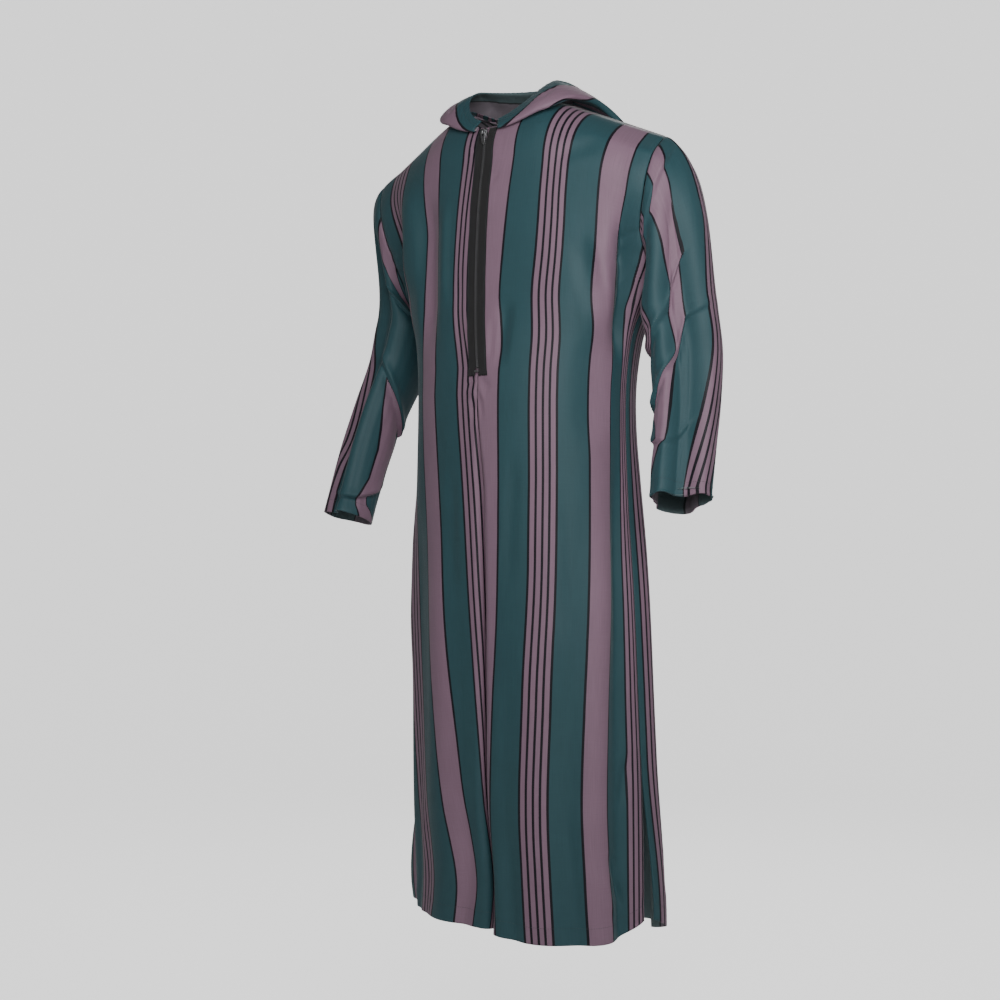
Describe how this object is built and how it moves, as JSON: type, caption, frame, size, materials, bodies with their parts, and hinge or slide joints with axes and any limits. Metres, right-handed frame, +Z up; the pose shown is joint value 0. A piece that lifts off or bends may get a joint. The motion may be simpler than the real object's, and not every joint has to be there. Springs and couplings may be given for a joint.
{
  "type": "thobe",
  "caption": "Calf-length hooded thobe with long sleeves, a chest zip with a pull tab and side slits, in its hollow worn form.",
  "frame": {"origin": "centre between the shoulders, level with the points where the shoulder seams meet the neckline; the wearer's shoulders and neck hold the garment there", "axes": "+Z up, the front faces -Y, the wearer's left is +X"},
  "size_m": [0.69, 0.3135, 1.3071],
  "materials": {
    "striped_cloth": "smooth twill striped green, mauve and navy, soft sheen",
    "zip_tape": "ribbed black woven tape",
    "zip_coil": "glossy black coil",
    "zip_metal": "worn dark enamel"
  },
  "bodies": {
    "garment": {"front_left": "striped_cloth", "front_right": "striped_cloth", "back": "striped_cloth", "sleeve_left": "striped_cloth", "sleeve_right": "striped_cloth", "hood": "striped_cloth", "zip_tape_left": "zip_tape", "zip_tape_right": "zip_tape", "zip_chain": "zip_coil", "zip_slider": "zip_metal", "zip_stop": "zip_metal"},
    "pull": {"zip_pull": "zip_metal"}
  },
  "joints": [
    {"name": "pull_flip", "type": "hinge", "parent": "garment", "child": "pull", "pos_m": [0, -0.12374, -0.052], "axis": [-1, 0, 0], "range_deg": [0, 150]}
  ]
}
